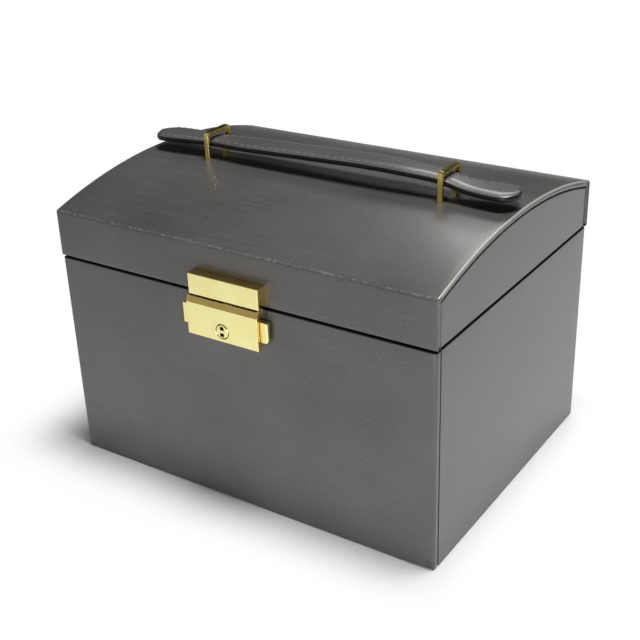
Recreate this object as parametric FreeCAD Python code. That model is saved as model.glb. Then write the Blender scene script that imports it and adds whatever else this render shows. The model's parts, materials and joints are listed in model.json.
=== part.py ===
"""Leather-covered jewellery box with a domed lid, a press lock, a strap handle,
a drop-front flap, a fixed top tray and two drawers. Millimetres, +Z up.

The origin is the centre of the underside. +X runs along the box's length, to
the right of someone facing the lock, and the front looks along -Y.
"""
import FreeCAD, Part
import math
import os

V = FreeCAD.Vector

# Overall size
WIDTH = 230.0
DEPTH = 176.0
SEAM_Z = 120.5          # middle of the gap between case and lid
SEAM_GAP = 0.8
LID_OVERHANG = 0.6      # how far the lid stands over the case at its ends and back
LID_EDGE_Z = 146.6      # where the lid's front face would meet the dome
DOME_RISE = 13.0        # crown above that edge
BEND_RADIUS = 1.6       # bend from the lid's front into the dome

# Boards, leather and velvet
LEATHER = 0.8
SIDE_BOARD = 3.6
FLAP_BOARD = 3.0
FLAP_LINING = 0.6
LID_BOARD = 2.4
END_BOARD = 3.0
BASE_BOARD = 6.0
BASE_COVER = 0.5
VELVET_CARD = 3.0
CORNER_RADIUS = 1.8
TOP_EDGE_RADIUS = 0.9
PANEL_GROOVE = 0.8      # groove round the lid's inset end panels
PANEL_RECESS = 0.8      # how far those panels lie inside the rim

# Inside the case
BAY_FLOOR_TOP = 11.0
SHELF_Z = (43.0, 46.0)
TRAY_FLOOR_Z = (83.0, 86.0)
LINER_CARD = 1.6
DRAWER_FRONT_Y = -60.0
DRAWER_BOARD = 2.4
DIVIDER_CARD = 2.0
DIVIDER_TOP = 114.0
FIT_GAP = 0.4           # clearance round what slides or turns
ROLL_COUNT = 5

# Lid lining and mirror
LINER_PANEL_Z = (140.5, 142.5)
MIRROR_SIZE = (156.0, 112.0, 2.0)
FRAME_BAR = (4.0, 2.6)  # width and height of the mirror's frame

# Press lock, and the hasp above it
LOCK_X = -2.0
LOCK_SIZE = (44.0, 6.0, 21.4)
LOCK_BOTTOM = 98.8
LOCK_BEVEL = (2.0, 3.5)  # set back and height of the sloping top edge
LOCK_WALL = 0.8
FACE_PLATE = 1.6
BUTTON_Z = (103.6, 114.4)
SLIDE_REST = 12.0        # inner end of a button's thick part, from the lock's centre
SPRING_Z = 109.1
BUTTON_REACH = 4.4       # how far a button stands out of the lock's end
BUTTON_TRAVEL = 2.5
KEY_Z = 104.7
KEY_RADIUS = 3.7
KEY_RING = 0.5          # bevelled groove round the key cylinder
KEY_SLOT = (2.4, 2.0)    # width and height of its two slots
RUNNING_GAP = 0.08
HASP_X = -0.1
HASP_SIZE = (42.9, 6.0, 11.2)
HASP_BOTTOM = 121.5
TONGUE_DEPTH = 4.6       # how far the tongue reaches below the lock's top

# Hinges
HINGE_X = (-70.0, 70.0)
HINGE_LENGTH = 25.0
HINGE_AXIS_OUT = 2.0     # pin centre behind the back face
KNUCKLE_RADIUS = 1.9
PIN_RADIUS = 0.8
LEAF = 0.7
LEAF_GAP = 0.1
FLANGE_HEIGHT = 9.0

# Strap handle
HANDLE_Y = -2.2
LOOP_X = (-70.4, 75.1)
LOOP_STRIP = (3.0, 2.2)  # width along X, and thickness
LOOP_WIDTH = 21.0
LOOP_TOP = 175.0
LOOP_BEND = 3.0
LOOP_FOOT = 3.0          # how far each foot turns in under the strap
PRONG_RADIUS = 0.9
CLINCH = 0.8
STRAP_X = (-111.8, 114.0)
STRAP_HALF = (9.0, 7.5, 9.8)  # half width at the grip, at the loops and at the ends
STRAP_TOP = 173.2
STRAP_THICK = 4.0

# Derived planes
X2 = WIDTH / 2
Y2 = DEPTH / 2
CASE_X2 = X2 - LID_OVERHANG
CASE_Y2 = Y2 - LID_OVERHANG
CASE_TOP = SEAM_Z - SEAM_GAP / 2
LID_BOTTOM = SEAM_Z + SEAM_GAP / 2
CROWN_Z = LID_EDGE_Z + DOME_RISE
DOME_RADIUS = (Y2 ** 2 + DOME_RISE ** 2) / (2 * DOME_RISE)
DOME_CENTRE_Z = CROWN_Z - DOME_RADIUS
WALL = LID_OVERHANG + LEATHER + SIDE_BOARD
FLAP = LEATHER + FLAP_BOARD + FLAP_LINING
CASE_FRONT_Y = -Y2 + FLAP + 0.6
IN_X = X2 - WALL
IN_BACK_Y = Y2 - WALL
BOARD_FOOT = BASE_COVER
LID_WALL = LEATHER + LID_BOARD
BEND_Y = Y2 - BEND_RADIUS
LOCK_MID_Y = -Y2 - (LOCK_SIZE[1] - FACE_PLATE + LOCK_WALL) / 2
BEND_Z = DOME_CENTRE_Z + math.sqrt((DOME_RADIUS - BEND_RADIUS) ** 2 - BEND_Y ** 2)
DOME_JOINT_Z = DOME_CENTRE_Z + math.sqrt((DOME_RADIUS - LID_WALL) ** 2 - (Y2 - LID_WALL) ** 2)


def box(x0, x1, y0, y1, z0, z1):
    """A block between two corners."""
    return Part.makeBox(x1 - x0, y1 - y0, z1 - z0, V(x0, y0, z0))


def rod(radius, start, end):
    """A round bar from one point to another."""
    run = end.sub(start)
    return Part.makeCylinder(radius, run.Length, start, run)


def fuse(shapes):
    """One solid from pieces that overlap or touch, without leftover edges."""
    whole = shapes[0]
    for shape in shapes[1:]:
        whole = whole.fuse(shape)
    return whole.removeSplitter()


def cut(shape, tools):
    """A shape with every tool taken away."""
    for tool in tools:
        shape = shape.cut(tool)
    return shape


def rounded(shape, radius, chosen):
    """Fillet the edges that a test picks out."""
    return shape.makeFillet(radius, [edge for edge in shape.Edges if chosen(edge)])


def runs_along(edge, axis):
    """True for a straight edge parallel to an axis: 0 is X, 1 is Y, 2 is Z."""
    if edge.Curve.TypeId != "Part::GeomLine":
        return False
    return abs(abs(edge.tangentAt(edge.FirstParameter)[axis]) - 1) < 1e-6


def middle(edge):
    """The middle point of an edge's ends."""
    return (edge.Vertexes[0].Point + edge.Vertexes[-1].Point) * 0.5


def loop(points):
    """A closed flat face from corner points."""
    return Part.Face(Part.makePolygon(points + [points[0]]))


def save(node, shape):
    """Write one node, after a look at its solids."""
    solids = len(shape.Solids)
    print(f"{node}: {solids} solid(s), {shape.Volume:.0f} mm3, valid {shape.isValid()}")
    shape.exportStep(f"parts/{node}.step")


# Lid outline: upright front and back faces that bend into one long arc

def lid_face(x, inset, bottom):
    """The lid's end outline at one x, drawn in by an inset."""
    radius = BEND_RADIUS - inset
    dome = DOME_RADIUS - inset
    side_y = Y2 - inset
    foot = V(x, side_y, bottom)
    crown = V(x, 0, DOME_CENTRE_Z + dome)

    def mirror(p):
        return V(p.x, -p.y, p.z)

    if radius > 0:
        lean = math.asin(BEND_Y / (DOME_RADIUS - BEND_RADIUS))
        half = (math.pi / 2 - lean) / 2
        touch = V(x, BEND_Y + radius * math.sin(lean), BEND_Z + radius * math.cos(lean))
        bow = V(x, BEND_Y + radius * math.cos(half), BEND_Z + radius * math.sin(half))
        shoulder = V(x, side_y, BEND_Z)
        bends = [Part.Arc(mirror(shoulder), mirror(bow), mirror(touch)), Part.Arc(touch, bow, shoulder)]
    else:
        touch = shoulder = V(x, side_y, DOME_CENTRE_Z + math.sqrt(dome ** 2 - side_y ** 2))
        bends = []
    edges = [Part.LineSegment(mirror(foot), mirror(shoulder))] + bends[:1]
    edges += [Part.Arc(mirror(touch), crown, touch)] + bends[1:]
    edges += [Part.LineSegment(shoulder, foot), Part.LineSegment(foot, mirror(foot))]
    return Part.Face(Part.Wire([edge.toShape() for edge in edges]))


def lid_block(x0, x1, inset, bottom):
    """The lid's outline, drawn in, as a solid from x0 to x1."""
    return lid_face(x0, inset, bottom).extrude(V(x1 - x0, 0, 0))


# Fasteners

def flush_screw(start, end, head, shank):
    """A countersunk screw from its head's face to its point."""
    axis = end.sub(start).normalize()
    cone = Part.makeCone(head, shank, head - shank, start, axis)
    return fuse([cone, rod(shank, start, end)])


def rivet(start, end, shank, head, thickness):
    """A rivet whose flat head lies past its end point."""
    axis = end.sub(start).normalize()
    cap = rod(head, end, end + axis * thickness)
    return fuse([rod(shank, start, end), cap])


# Hinges: two L-shaped leaves on one pin, let in under the leather at the back

def hinge_parts():
    """Case leaves, lid leaves, pins and both sets of screws, by name."""
    axis_y = Y2 + HINGE_AXIS_OUT
    bore = PIN_RADIUS + RUNNING_GAP
    segment = HINGE_LENGTH / 5
    parts = {"pins": [], "case_screws": [], "lid_screws": []}
    inner = {"case": IN_BACK_Y - LEAF, "lid": Y2 - LID_WALL - LEAF}
    for index, centre in enumerate(HINGE_X):
        start = centre - HINGE_LENGTH / 2
        for side, sign in (("case", -1), ("lid", 1)):
            near = SEAM_Z + sign * LEAF_GAP
            far = near + sign * LEAF
            low, high = min(near, far), max(near, far)
            edge = near + sign * FLANGE_HEIGHT
            y0 = inner[side]
            plate = box(start, start + HINGE_LENGTH, y0, Y2 - LEAF_GAP, low, high)
            flange = box(start, start + HINGE_LENGTH, y0, y0 + LEAF, min(near, edge), max(near, edge))
            body = fuse([plate, flange])
            for slot in range(5):
                if (slot % 2 == 0) != (side == "case"):
                    continue
                x0 = start + slot * segment + LEAF_GAP / 2
                x1 = start + (slot + 1) * segment - LEAF_GAP / 2
                knuckle = rod(KNUCKLE_RADIUS, V(x0, axis_y, SEAM_Z), V(x1, axis_y, SEAM_Z))
                neck = box(x0, x1, Y2 - 1.0, axis_y, low, high)
                body = fuse([body, knuckle, neck])
            hole = PIN_RADIUS if side == "case" else bore
            ends = [V(x, axis_y, SEAM_Z) for x in (start - 1, start + HINGE_LENGTH + 1)]
            body = body.cut(rod(hole, *ends))
            screw_z = near + sign * FLANGE_HEIGHT * 0.62
            depth = SIDE_BOARD - 0.6 if side == "case" else LID_BOARD - 0.3
            for offset in (-7.5, 7.5):
                head = V(centre + offset, y0, screw_z)
                screw = flush_screw(head, head + V(0, LEAF + depth, 0), 1.5, 0.8)
                parts[side + "_screws"].append(screw)
                body = body.cut(screw)
            parts[f"{side}_leaf_{index}"] = body
        pin_ends = [V(x, axis_y, SEAM_Z) for x in (start, start + HINGE_LENGTH)]
        parts["pins"].append(rod(PIN_RADIUS, *pin_ends))
    return parts


hinges = hinge_parts()
case_leaves = [hinges["case_leaf_0"], hinges["case_leaf_1"]]
lid_leaves = [hinges["lid_leaf_0"], hinges["lid_leaf_1"]]


# Case: boards, their leather, and what stands inside

def case_parts():
    """Every piece that stays with the case."""
    board_x = CASE_X2 - LEATHER
    board_top = CASE_TOP - LEATHER
    board_front = CASE_FRONT_Y + LEATHER
    board_back = CASE_Y2 - LEATHER
    left = box(-board_x, -IN_X, board_front, board_back, BOARD_FOOT, board_top)
    right = box(IN_X, board_x, board_front, board_back, BOARD_FOOT, board_top)
    back = box(-IN_X, IN_X, IN_BACK_Y, board_back, BOARD_FOOT, board_top)
    hollow = box(-IN_X, IN_X, CASE_FRONT_Y - 1, IN_BACK_Y, 0, CASE_TOP + 1)
    wrap = box(-CASE_X2, CASE_X2, CASE_FRONT_Y, CASE_Y2, BOARD_FOOT / 2, CASE_TOP)
    wrap = rounded(wrap, CORNER_RADIUS, lambda e: runs_along(e, 2) and middle(e).y > 0)
    wrap = rounded(wrap, TOP_EDGE_RADIUS,
                   lambda e: middle(e).z > CASE_TOP - 0.01 and middle(e).y > CASE_FRONT_Y + 1)
    wrap = cut(wrap, [hollow, left, right, back] + case_leaves)

    screws = hinges["case_screws"]
    parts = {"left_side_board": left, "right_side_board": right,
             "back_board": cut(back, case_leaves + screws), "case_cover": wrap}
    foot_x = CASE_X2 - 0.6
    foot_y = CASE_Y2 - 0.6
    parts["base_cover"] = box(-foot_x, foot_x, -Y2 + 0.8, foot_y, 0, BASE_COVER).cut(wrap)
    base_top = BASE_COVER + BASE_BOARD
    parts["base_board"] = box(-IN_X, IN_X, CASE_FRONT_Y, IN_BACK_Y, BASE_COVER, base_top)
    parts["bay_floor"] = box(-IN_X, IN_X, CASE_FRONT_Y, IN_BACK_Y, base_top, BAY_FLOOR_TOP)

    liner_in = IN_X - LINER_CARD
    liner_box = (CASE_FRONT_Y, IN_BACK_Y, BAY_FLOOR_TOP, TRAY_FLOOR_Z[0])
    liners = [box(-IN_X, -liner_in, *liner_box), box(liner_in, IN_X, *liner_box)]
    parts["bay_liners"] = Part.makeCompound(liners)
    parts["drawer_shelf"] = box(-liner_in, liner_in, DRAWER_FRONT_Y, IN_BACK_Y, *SHELF_Z)
    parts["tray_floor"] = box(-IN_X, IN_X, CASE_FRONT_Y, IN_BACK_Y, *TRAY_FLOOR_Z)

    tray_z = (TRAY_FLOOR_Z[1], LID_BOTTOM)
    wall_y = (CASE_FRONT_Y + VELVET_CARD, IN_BACK_Y - VELVET_CARD)
    wall_x = IN_X - VELVET_CARD
    walls = [box(-IN_X, IN_X, CASE_FRONT_Y, wall_y[0], *tray_z),
             box(-IN_X, -wall_x, *wall_y, *tray_z),
             box(wall_x, IN_X, *wall_y, *tray_z),
             cut(box(-IN_X, IN_X, wall_y[1], IN_BACK_Y, *tray_z), case_leaves + screws)]
    parts["tray_walls"] = Part.makeCompound(walls)

    cross_y = 1.0
    roll_end = 30.0
    half = DIVIDER_CARD / 2
    z = (TRAY_FLOOR_Z[1], DIVIDER_TOP)
    bars = [box(-wall_x, wall_x, cross_y, cross_y + DIVIDER_CARD, *z),
            box(roll_end, roll_end + DIVIDER_CARD, wall_y[0], cross_y, *z)]
    for x in (-wall_x / 3, wall_x / 3):
        bars.append(box(x - half, x + half, cross_y + DIVIDER_CARD, wall_y[1], *z))
    parts["tray_dividers"] = Part.makeCompound(bars)

    parts["ring_rolls"] = ring_rolls(-wall_x + FIT_GAP, roll_end - FIT_GAP, wall_y[0], cross_y)
    return parts


def ring_rolls(x0, x1, y0, y1):
    """Padded rolls side by side, with a slot for rings between each two."""
    pitch = (y1 - y0) / ROLL_COUNT
    radius = (pitch - FIT_GAP) / 2
    foot = TRAY_FLOOR_Z[1]
    top = foot + 22.0
    rolls = []
    for index in range(ROLL_COUNT):
        y = y0 + (index + 0.5) * pitch
        block = box(x0, x1, y - radius, y + radius, foot, top - radius)
        crest = rod(radius, V(x0, y, top - radius), V(x1, y, top - radius))
        rolls.append(fuse([block, crest]))
    return Part.makeCompound(rolls)


# Drawers

def drawer_parts(name, floor_z, ceiling_z, across):
    """One drawer: front, box, dividers and knob. across lists cross dividers' x."""
    front_x = IN_X - LINER_CARD - FIT_GAP
    box_x = front_x - 0.2
    front_z = (floor_z + FIT_GAP, ceiling_z - FIT_GAP)
    joint_y = DRAWER_FRONT_Y + VELVET_CARD
    back_y = IN_BACK_Y - 1.2
    wall_top = ceiling_z - 2.6
    inner_x = box_x - DRAWER_BOARD
    inner_y = (joint_y + DRAWER_BOARD, back_y - DRAWER_BOARD)
    inner_floor = floor_z + 2.0
    tray = box(-box_x, box_x, joint_y, back_y, floor_z, wall_top)
    tray = tray.cut(box(-inner_x, inner_x, *inner_y, inner_floor, wall_top + 1))

    knob_z = (front_z[0] + front_z[1]) / 2
    knob = knob_solid(knob_z, joint_y)
    front = box(-front_x, front_x, DRAWER_FRONT_Y, joint_y, *front_z)
    front = rounded(front, 0.6, lambda e: abs(middle(e).y - DRAWER_FRONT_Y) < 0.01)
    front = front.cut(knob)

    half = DIVIDER_CARD / 2
    rib_z = (inner_floor, wall_top - 6.0)
    middle_y = (inner_y[0] + inner_y[1]) / 2
    ribs = [box(-inner_x, inner_x, middle_y - half, middle_y + half, *rib_z)]
    for x in across:
        ribs.append(box(x - half, x + half, middle_y + half, inner_y[1], *rib_z))
    return {f"{name}_drawer_front": front, f"{name}_drawer_box": tray,
            f"{name}_drawer_dividers": Part.makeCompound(ribs), f"{name}_drawer_knob": knob}


def knob_solid(z, joint_y):
    """A turned brass knob with its stem through the drawer front."""
    outline = [(0, VELVET_CARD), (1.2, VELVET_CARD), (1.2, 0), (3.2, 0), (3.2, -0.8),
               (1.9, -2.2), (1.9, -4.4), (4.6, -6.6), (5.0, -8.4), (4.2, -10.2), (0, -11.0)]
    points = [V(radius, DRAWER_FRONT_Y + y, z) for radius, y in outline]
    return loop(points).revolve(V(0, DRAWER_FRONT_Y, z), V(0, 1, 0), 360)


# Drop-front flap with the press lock

def flap_parts():
    """The flap's board, leather and lining, with the lock's fixed pieces."""
    front_y = -Y2
    skin_y = front_y + LEATHER
    board_y = skin_y + FLAP_BOARD
    inner_y = front_y + FLAP
    foot = 0.8
    wrap = box(-CASE_X2, CASE_X2, front_y, board_y, foot, CASE_TOP)
    wrap = rounded(wrap, CORNER_RADIUS, lambda e: runs_along(e, 2) and middle(e).y < front_y + 0.01)
    wrap = rounded(wrap, TOP_EDGE_RADIUS,
                   lambda e: abs(middle(e).y - front_y) < 2.0 and middle(e).z > CASE_TOP - 0.01
                   and not runs_along(e, 1))
    board_x = CASE_X2 - LEATHER
    lining_x = CASE_X2 - 0.6
    board = box(-board_x, board_x, skin_y, board_y, foot + LEATHER, CASE_TOP - LEATHER)
    lining = box(-lining_x, lining_x, board_y, inner_y, foot + 0.6, CASE_TOP - 0.6)

    plate_y = front_y - LOCK_WALL
    rivets = []
    for x in (-16.5, 16.5):
        for z in (LOCK_BOTTOM + 2.6, LOCK_BOTTOM + LOCK_SIZE[2] - 3.2):
            start = V(LOCK_X + x, plate_y, z)
            rivets.append(rivet(start, V(start.x, board_y - 0.1, z), 0.9, 1.9, FLAP_LINING))
    rivet_set = Part.makeCompound(rivets)
    parts = {"flap_cover": cut(wrap, [board] + rivets), "flap_board": cut(board, rivets),
             "flap_lining": cut(lining, rivets), "lock_rivets": rivet_set}
    parts.update(lock_parts(front_y, plate_y, rivets))
    return parts


def lock_parts(front_y, plate_y, rivets):
    """Lock case with its face plate and back plate, and the springs in it."""
    length, depth, height = LOCK_SIZE
    x2 = length / 2
    top = LOCK_BOTTOM + height
    face_y = front_y - depth
    back_of_face = face_y + FACE_PLATE
    setback, drop = LOCK_BEVEL
    side = [V(LOCK_X - x2, face_y, LOCK_BOTTOM), V(LOCK_X - x2, face_y, top - drop),
            V(LOCK_X - x2, face_y + setback, top), V(LOCK_X - x2, back_of_face + 0.6, top),
            V(LOCK_X - x2, back_of_face + 0.6, LOCK_BOTTOM)]
    face = loop(side).extrude(V(length, 0, 0))
    face = rounded(face, 0.5, lambda e: middle(e).y < face_y + 0.01)
    shell_x = x2 - 1.5
    shell = box(LOCK_X - shell_x, LOCK_X + shell_x, back_of_face, front_y, LOCK_BOTTOM + 0.4, top)
    cavity_x = shell_x - LOCK_WALL
    cavity = box(LOCK_X - cavity_x, LOCK_X + cavity_x, back_of_face, front_y + 1,
                 LOCK_BOTTOM + 0.4 + LOCK_WALL, top - LOCK_WALL)
    window_z = BUTTON_Z[0] - 0.2, BUTTON_Z[1] + 0.2
    windows = box(LOCK_X - x2 - 1, LOCK_X + x2 + 1, back_of_face + 0.0, plate_y, *window_z)
    slot = box(LOCK_X - 10.5, LOCK_X + 10.5, back_of_face, front_y - 0.3, top - 3, top + 1)
    key_hole = rod(KEY_RADIUS + RUNNING_GAP, V(LOCK_X, face_y - 1, KEY_Z), V(LOCK_X, back_of_face, KEY_Z))
    ring_radii = KEY_RADIUS + KEY_RING, KEY_RADIUS
    key_ring = Part.makeCone(*ring_radii, KEY_RING, V(LOCK_X, face_y, KEY_Z), V(0, 1, 0))
    case = cut(fuse([face, shell]), [cavity, windows, slot, key_hole, key_ring])

    stop_x = 6.4
    posts = []
    for sign in (-1, 1):
        x = LOCK_X + sign * stop_x
        posts.append(box(x - 0.5, x + 0.5, back_of_face, plate_y, SPRING_Z - 1.5, SPRING_Z + 1.5))
    case = fuse([case] + posts)
    plate = box(LOCK_X - cavity_x, LOCK_X + cavity_x, plate_y, front_y,
                LOCK_BOTTOM + 0.4 + LOCK_WALL, top - LOCK_WALL)
    plate = cut(plate, rivets + [slot])
    parts = {"lock_case": case, "lock_back_plate": plate}
    for name, sign in (("left", -1), ("right", 1)):
        spring = coil_spring(LOCK_X + sign * (stop_x + 0.5), sign, SLIDE_REST - stop_x - 0.5)
        parts[f"{name}_button_spring"] = spring
    return parts


def coil_spring(x, sign, length):
    """A small compression spring of square wire along X, growing outwards from x."""
    half = 0.2
    radius = 0.95
    turns = 3
    run = length - 2 * half
    helix = Part.makeHelix(run / turns, run, radius)
    section = [V(radius + a * half, 0, b * half) for a, b in ((-1, -1), (1, -1), (1, 1), (-1, 1), (-1, -1))]
    coil = Part.Wire([helix]).makePipeShell([Part.makePolygon(section)], True, True)
    coil.rotate(V(0, 0, 0), V(0, 1, 0), 90 * sign)
    coil.translate(V(x + sign * half, LOCK_MID_Y, SPRING_Z))
    return coil


def button(sign):
    """A push button with its slide and the catch that holds the tongue."""
    y = (LOCK_MID_Y - 1.5, LOCK_MID_Y + 1.5)
    outer = LOCK_SIZE[0] / 2 + BUTTON_REACH
    head = box(SLIDE_REST, outer, *y, *BUTTON_Z)
    head = rounded(head, 1.2, lambda e: middle(e).x > outer - 0.01)
    arm_z = BUTTON_Z[1] - 1.8, BUTTON_Z[1]
    catch_x = 3.2, 5.4
    arm = box(catch_x[0], SLIDE_REST, LOCK_MID_Y - 1.0, LOCK_MID_Y + 1.0, *arm_z)
    catch = box(*catch_x, LOCK_MID_Y - 1.0, LOCK_MID_Y + 0.4, arm_z[0], BUTTON_Z[1] + 2.6)
    solid = fuse([head, arm, catch])
    if sign < 0:
        solid = solid.mirror(V(0, 0, 0), V(1, 0, 0))
    solid.translate(V(LOCK_X, 0, 0))
    return solid


def key_parts():
    """Key cylinder with its two square slots, and the cam behind it."""
    face_y = -Y2 - LOCK_SIZE[1]
    start = V(LOCK_X, face_y - 0.25, KEY_Z)
    inner_y = face_y + FACE_PLATE + 0.6
    plug = rod(KEY_RADIUS, start, V(LOCK_X, inner_y, KEY_Z))
    plug = plug.makeChamfer(0.35, [e for e in plug.Edges if middle(e).y < start.y + 0.01 and e.Closed])
    width, height = KEY_SLOT
    cuts = []
    for offset in (-1.75, 1.75):
        z = KEY_Z + offset
        cuts.append(box(LOCK_X - width / 2, LOCK_X + width / 2, start.y - 1, start.y + 1.4,
                        z - height / 2, z + height / 2))
    plug = cut(plug, cuts)
    hub = rod(2.2, V(LOCK_X, inner_y, KEY_Z), V(LOCK_X, inner_y + 1.2, KEY_Z))
    lobe = box(LOCK_X - 1.2, LOCK_X + 1.2, inner_y, inner_y + 1.2, KEY_Z, KEY_Z + 4.6)
    cam = fuse([hub, lobe])
    return {"key_cylinder": plug, "key_cam": cam}


# Lid

def lid_parts():
    """Boards, leather, lining, mirror, hasp and handle rings of the lid."""
    inner = LID_WALL
    board_bottom = LID_BOTTOM + LEATHER
    board_x = X2 - LEATHER
    core = lid_block(-board_x, board_x, LEATHER, board_bottom)
    hollow = lid_block(-X2 - 1, X2 + 1, inner, LID_BOTTOM - 1)
    ring = core.cut(hollow)
    high = box(-X2, X2, -Y2, Y2, DOME_JOINT_Z, CROWN_Z + 1)
    dome = ring.common(high)
    front = box(-board_x, board_x, -Y2 + LEATHER, -Y2 + inner, board_bottom, DOME_JOINT_Z)
    back = box(-board_x, board_x, Y2 - inner, Y2 - LEATHER, board_bottom, DOME_JOINT_Z)

    wrap = lid_block(-X2, X2, 0, LID_BOTTOM)
    wrap = rounded(wrap, 1.2, lambda e: abs(abs(middle(e).x) - X2) < 0.01 and middle(e).z > LID_BOTTOM + 1)
    wrap = rounded(wrap, 0.8, lambda e: runs_along(e, 0) and middle(e).z < LID_BOTTOM + 0.01)

    prongs = [prong for x in LOOP_X for prong in loop_prongs(x, PRONG_RADIUS, CROWN_Z - 6)]
    hasp_rivets = hasp_fixings()
    through = prongs + hasp_rivets
    lid_leaf_set = lid_leaves + hinges["lid_screws"]
    parts = {"lid_cover": cut(wrap, [hollow, core] + through + lid_leaves),
             "lid_dome_board": cut(dome, prongs),
             "lid_front_board": cut(front, hasp_rivets),
             "lid_back_board": cut(back, lid_leaf_set)}

    for name, sign in (("left", -1), ("right", 1)):
        in_x = X2 - LEATHER - END_BOARD
        x = sorted((sign * in_x, sign * (in_x + 1.4)))
        panel_x = X2 - PANEL_RECESS
        x_out = sorted((sign * (in_x + 1.4), sign * (panel_x - LEATHER)))
        face_x = sorted((sign * (in_x + 1.4), sign * panel_x))
        edge = inner + PANEL_GROOVE
        board = fuse([lid_block(*x, inner, board_bottom), lid_block(*x_out, edge + LEATHER, board_bottom)])
        skin = lid_block(*face_x, edge, LID_BOTTOM)
        skin = rounded(skin, 0.6, lambda e: abs(middle(e).x - sign * panel_x) < 0.01)
        parts[f"lid_{name}_end_board"] = board
        parts[f"lid_{name}_end_cover"] = skin.cut(board)

    in_x = X2 - LEATHER - END_BOARD
    in_y = Y2 - inner
    parts["lid_liner_panel"] = box(-in_x, in_x, -in_y, in_y, *LINER_PANEL_Z)
    card_z = LID_BOTTOM, LINER_PANEL_Z[0]
    walls = [box(-in_x, in_x, -in_y, -in_y + VELVET_CARD, *card_z),
             box(-in_x, in_x, in_y - VELVET_CARD, in_y, *card_z)]
    for x in (-in_x, in_x - VELVET_CARD):
        walls.append(box(x, x + VELVET_CARD, -in_y + VELVET_CARD, in_y - VELVET_CARD, *card_z))
    parts["lid_liner_walls"] = Part.makeCompound([cut(wall, lid_leaf_set + hasp_rivets) for wall in walls])

    mirror_x, mirror_y, mirror_z = (MIRROR_SIZE[0] / 2, MIRROR_SIZE[1] / 2, MIRROR_SIZE[2])
    glass_top = LINER_PANEL_Z[0]
    parts["mirror"] = box(-mirror_x, mirror_x, -mirror_y, mirror_y, glass_top - mirror_z, glass_top)
    bar, bar_z = FRAME_BAR
    outer_x, outer_y = mirror_x + bar, mirror_y + bar
    frame = box(-outer_x, outer_x, -outer_y, outer_y, glass_top - bar_z, glass_top)
    frame = rounded(frame, 1.5, lambda e: runs_along(e, 2))
    pane = box(-mirror_x, mirror_x, -mirror_y, mirror_y, glass_top - 5, glass_top + 1)
    parts["mirror_frame"] = frame.cut(pane)

    parts.update(hasp_parts(hasp_rivets))
    parts["hasp_rivets"] = Part.makeCompound(hasp_rivets)
    parts.update(loop_parts())
    return parts


def hasp_fixings():
    """Two rivets that hold the hasp's strip through the lid's front board."""
    rivets = []
    for x in (-13.0, 13.0):
        z = HASP_BOTTOM + 5.4
        rivets.append(rivet(V(HASP_X + x, -Y2 - 0.9, z), V(HASP_X + x, -Y2 + LID_WALL, z), 1.1, 2.2, 0.7))
    return rivets


def hasp_parts(rivets):
    """Hasp cover, and the bent strip inside it that ends in a forked tongue."""
    length, depth, height = HASP_SIZE
    x2 = length / 2
    front_y = -Y2
    top = HASP_BOTTOM + height
    cover = box(HASP_X - x2, HASP_X + x2, front_y - depth, front_y, HASP_BOTTOM, top)
    cover = rounded(cover, 0.4, lambda e: middle(e).y < front_y - depth + 0.01)
    hollow = box(HASP_X - x2 + LOCK_WALL, HASP_X + x2 - LOCK_WALL, front_y - depth + LOCK_WALL, front_y + 1,
                 HASP_BOTTOM - 1, top - LOCK_WALL)
    cover = cover.cut(hollow)

    tongue_y = -Y2 - LOCK_SIZE[1] + FACE_PLATE + 0.3, -Y2 - LOCK_SIZE[1] + FACE_PLATE + 1.2
    strip_x = HASP_X - 16.0, HASP_X + 16.0
    strip_top = top - LOCK_WALL
    sheet = 0.9
    web_z = strip_top - sheet, strip_top
    plate = box(*strip_x, front_y - sheet, front_y, HASP_BOTTOM + 0.8, strip_top)
    web = box(*strip_x, tongue_y[0], front_y, *web_z)
    reach = LOCK_BOTTOM + LOCK_SIZE[2] - TONGUE_DEPTH
    fork = box(LOCK_X - 9.3, LOCK_X + 9.3, *tongue_y, reach, strip_top)
    gap = box(LOCK_X - 5.8, LOCK_X + 5.8, front_y - 9, front_y, reach - 1, HASP_BOTTOM)
    strip = fuse([plate, web, fork.cut(gap)])
    return {"hasp_cover": cover, "hasp_tongue": cut(strip, rivets)}


# Strap handle

def loop_prongs(x, radius, low):
    """The two prongs of one handle loop, from its feet down through the dome."""
    reach = LOOP_WIDTH / 2 - LOOP_STRIP[1] - LOOP_FOOT / 2
    return [rod(radius, V(x, HANDLE_Y + side * reach, CROWN_Z + 0.8), V(x, HANDLE_Y + side * reach, low))
            for side in (-1, 1)]


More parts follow.
